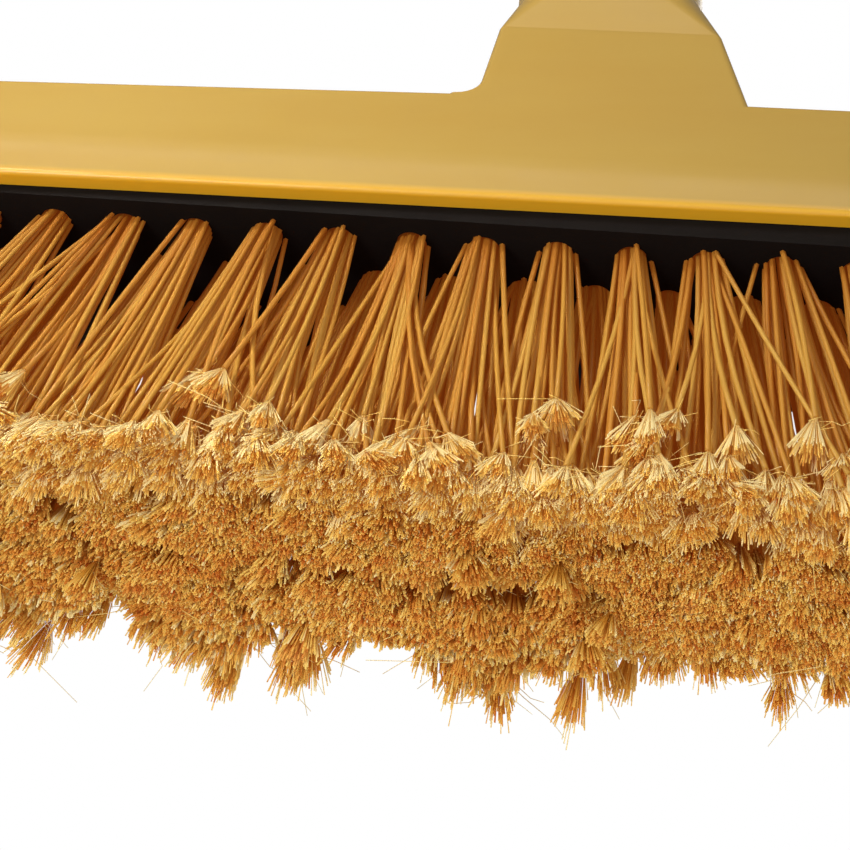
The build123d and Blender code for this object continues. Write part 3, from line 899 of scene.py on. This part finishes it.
class BROOM_OT_bristles(bpy.types.Operator):
    """Plant the flagged bristles, one piece for each half row"""

    bl_idname = "broom.bristles"
    bl_label = "Bristles"

    def execute(self, context):
        bristle = context.scene.broom_bristles
        material = bristle_material(context.scene.broom_finish)
        for row, row_name in enumerate(ROWS):
            along, roots, tips = tuft_row(bristle, row)
            long_side = along > -(row % 2) * bristle.tuft_pitch / 2
            for side_name, chosen in (("short_side", ~long_side), ("long_side", long_side)):
                rng = np.random.default_rng([row, int(chosen[-1])])
                node = f"bristles_{row_name}_{side_name}"
                strands = half_row_strands(bristle, row, roots[chosen], tips[chosen], rng)
                piece = mesh_piece(f"flagged_{node}", strands)
                piece.data.materials.append(material)
                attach(piece, "head")
                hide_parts(node)
        return {"FINISHED"}


class BROOM_OT_moulded_finish(bpy.types.Operator):
    """Finish the cap, the tuft block, the sleeve, the threaded tip and the hang cap"""

    bl_idname = "broom.moulded_finish"
    bl_label = "Moulded pieces"

    def execute(self, context):
        finish = context.scene.broom_finish
        cap = moulded_material(
            "Cap plastic", finish.cap, finish.cap_shade, smooth=0.19, rough=0.25, pebble=0.03
        )
        block = moulded_material(
            "Block plastic", finish.block, finish.block_shade, smooth=0.7, rough=0.85, pebble=0.25,
            Specular_IOR_Level=0.12,
        )
        sleeve = moulded_material(
            "Sleeve plastic", finish.sleeve, finish.sleeve_shade, smooth=0.20, rough=0.30, pebble=0.06
        )
        black = moulded_material(
            "Black plastic", finish.black_plastic, finish.black_shade, smooth=0.38, rough=0.52, pebble=0.2
        )
        dress(paint_rim_glow(cap, finish), "head_cap")
        dress(block, "tuft_block")
        dress(sleeve, "handle_sleeve")
        dress(black, "threaded_tip", "hang_cap")
        return {"FINISHED"}


class BROOM_OT_metal_finish(bpy.types.Operator):
    """Finish the tube, the tip's pin, the block screws and the staples"""

    bl_idname = "broom.metal_finish"
    bl_label = "Metal pieces"

    def execute(self, context):
        finish = context.scene.broom_finish
        inputs = {"Tone": rgba(finish.steel), "Shade": rgba(finish.steel_shade)}
        steel = finish_material(
            "Drawn steel",
            drawn_steel(),
            inputs,
            bump_strength=0.12,
            bump_distance=DRAWN_LINE_DEPTH,
            Metallic=1.0,
        )
        fixings = [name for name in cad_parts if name.startswith(("block_screw", "staples"))]
        dress(steel, "handle_tube", "tip_pin", *fixings)
        return {"FINISHED"}


def add_lamp(name, place, target, width, height, power, beam=180):
    """A soft rectangular lamp that the camera doesn't see, with the spread of its beam in degrees."""
    lamp = bpy.data.lights.new(name, "AREA")
    lamp.shape = "RECTANGLE"
    lamp.size = width
    lamp.size_y = height
    lamp.energy = power
    lamp.spread = radians(beam)
    holder = bpy.data.objects.new(name, lamp)
    turn = (Vector(place) - Vector(target)).to_track_quat("Z", "Y").to_matrix().to_4x4()
    holder.matrix_world = Matrix.Translation(place) @ turn
    holder.visible_camera = False
    bpy.context.scene.collection.objects.link(holder)


class BROOM_OT_stage(bpy.types.Operator):
    """Lay the pale floor, set the soft lamps and place the camera"""

    bl_idname = "broom.stage"
    bl_label = "Stage"

    def execute(self, context):
        scene, stage = context.scene, context.scene.broom_stage
        self.lay_floor(scene, stage)
        self.surround(scene, stage)
        self.set_lamps()
        self.place_camera(scene, stage)
        scene.view_settings.view_transform = "Standard"
        return {"FINISHED"}

    def lay_floor(self, scene, stage):
        """One square sheet, clear from below, whose own light grows to white away from its middle."""
        reach = stage.floor_side / 2
        corners = [(-reach, -reach, 0), (reach, -reach, 0), (reach, reach, 0), (-reach, reach, 0)]
        mesh = bpy.data.meshes.new("floor")
        mesh.from_pydata(corners, [], [(0, 1, 2, 3)])
        floor = bpy.data.objects.new("floor", mesh)
        material, tree, shader = new_material("Floor")
        shader.inputs["Base Color"].default_value = rgba(stage.floor)
        shader.inputs["Roughness"].default_value = 0.85
        shader.inputs["Emission Strength"].default_value = 1.0
        distance = add_node(tree, "ShaderNodeVectorMath", {0: add_place(tree)}, operation="LENGTH")
        away = add_range(tree, distance.outputs["Value"], FLOOR_LIGHT_START * reach, FLOOR_LIGHT_END * reach)
        own_light = add_ramp(tree, away, (0.0, [FLOOR_LIGHT] * 3), (1.0, [1.0] * 3))
        tree.links.new(own_light, shader.inputs["Emission Color"])
        clear = add_node(tree, "ShaderNodeBsdfTransparent")
        facing = add_node(tree, "ShaderNodeNewGeometry")
        sheet = add_node(
            tree,
            "ShaderNodeMixShader",
            {0: facing.outputs["Backfacing"], 1: shader.outputs["BSDF"], 2: clear.outputs["BSDF"]},
        )
        tree.links.new(sheet.outputs["Shader"], tree.nodes["Material Output"].inputs["Surface"])
        mesh.materials.append(material)
        floor.visible_shadow = False
        floor.visible_diffuse = False
        floor.visible_glossy = False
        scene.collection.objects.link(floor)

    def surround(self, scene, stage):
        """White surroundings that light the broom more from below than from above, and look plain white."""
        world = bpy.data.worlds.new("Studio")
        world.use_nodes = True
        scene.world = world
        tree = world.node_tree
        path = add_node(tree, "ShaderNodeLightPath")
        facing = add_node(tree, "ShaderNodeTexCoord").outputs["Generated"]
        towards = add_node(tree, "ShaderNodeSeparateXYZ", {"Vector": facing})
        shed = add_range(tree, towards.outputs["Z"], -1.0, 1.0, stage.ground_light, stage.sky_light)
        strength = add_range(tree, path.outputs["Is Camera Ray"], 0.0, 1.0, first=shed)
        background = tree.nodes["Background"]
        background.inputs["Color"].default_value = (1, 1, 1, 1)
        tree.links.new(strength, background.inputs["Strength"])

    def set_lamps(self):
        """A key lamp on the left, a band over the cap, one lamp behind, one on the handle and one low."""
        add_lamp(
            "key_lamp", place=(-0.45, -0.6, 0.45), target=(-0.15, 0, 0.07),
            width=0.3, height=0.3, power=0.26, beam=22,
        )
        add_lamp(
            "band_lamp", place=(-0.35, -0.9, 1.35), target=(-0.05, 0, 0.09),
            width=2.4, height=0.13, power=1.8,
        )
        add_lamp(
            "back_lamp", place=(0.5, 1.2, 1.1), target=(0, 0, 0.1),
            width=1.2, height=0.8, power=20,
        )
        add_lamp(
            "handle_lamp", place=(0.9, -1.4, 1.3), target=(0, 0, 0.85),
            width=0.4, height=0.8, power=1.3, beam=28,
        )
        add_lamp(
            "low_lamp", place=(-0.5, -0.8, -0.3), target=(-0.08, 0, 0.03),
            width=0.5, height=0.4, power=0.45, beam=45,
        )

    def place_camera(self, scene, stage):
        """Camera turned by yaw, pitch and roll at its eye, its lens from the focal length in pixels."""
        yaw, pitch, roll = stage.eye_yaw, stage.eye_pitch, stage.eye_roll
        ahead = Vector((sin(yaw) * cos(pitch), cos(yaw) * cos(pitch), sin(pitch)))
        level = Vector((cos(yaw), -sin(yaw), 0))
        upright = level.cross(ahead)
        right = cos(roll) * level + sin(roll) * upright
        up = cos(roll) * upright - sin(roll) * level
        lens = bpy.data.cameras.new("camera")
        lens.sensor_width = 36.0
        lens.lens = lens.sensor_width * stage.focal_pixels / IMAGE_SIDE
        lens.clip_start = 0.01
        lens.clip_end = 50
        camera = bpy.data.objects.new("camera", lens)
        turn = Matrix((right, up, -ahead)).transposed().to_4x4()
        camera.matrix_world = Matrix.Translation(stage.eye) @ turn
        scene.collection.objects.link(camera)
        scene.camera = camera


class BROOM_PT_panel(bpy.types.Panel):
    """Sizes, colours and steps of the angle broom"""

    bl_label = "Angle Broom"
    bl_space_type = "VIEW_3D"
    bl_region_type = "UI"
    bl_category = "Broom"

    def draw(self, context):
        layout, scene = self.layout, context.scene
        for operator in OPERATORS:
            layout.operator(operator.bl_idname)
        for settings in (scene.broom_bristles, scene.broom_finish, scene.broom_stage):
            box = layout.box()
            for name in settings.__annotations__:
                box.prop(settings, name)


OPERATORS = (BROOM_OT_bristles, BROOM_OT_moulded_finish, BROOM_OT_metal_finish, BROOM_OT_stage)
CLASSES = (BristleSettings, FinishSettings, StageSettings, *OPERATORS, BROOM_PT_panel)


def register():
    """Makes the classes known to Blender and gives the scene its three sets of settings."""
    for made in CLASSES:
        bpy.utils.register_class(made)
    bpy.types.Scene.broom_bristles = PointerProperty(type=BristleSettings)
    bpy.types.Scene.broom_finish = PointerProperty(type=FinishSettings)
    bpy.types.Scene.broom_stage = PointerProperty(type=StageSettings)


def unregister():
    """Takes the settings and the classes away again."""
    del bpy.types.Scene.broom_stage
    del bpy.types.Scene.broom_finish
    del bpy.types.Scene.broom_bristles
    for made in reversed(CLASSES):
        bpy.utils.unregister_class(made)


def main():
    """Builds every piece and the stage."""
    register()
    bpy.ops.broom.bristles()
    bpy.ops.broom.moulded_finish()
    bpy.ops.broom.metal_finish()
    bpy.ops.broom.stage()


if __name__ == "__main__":
    main()
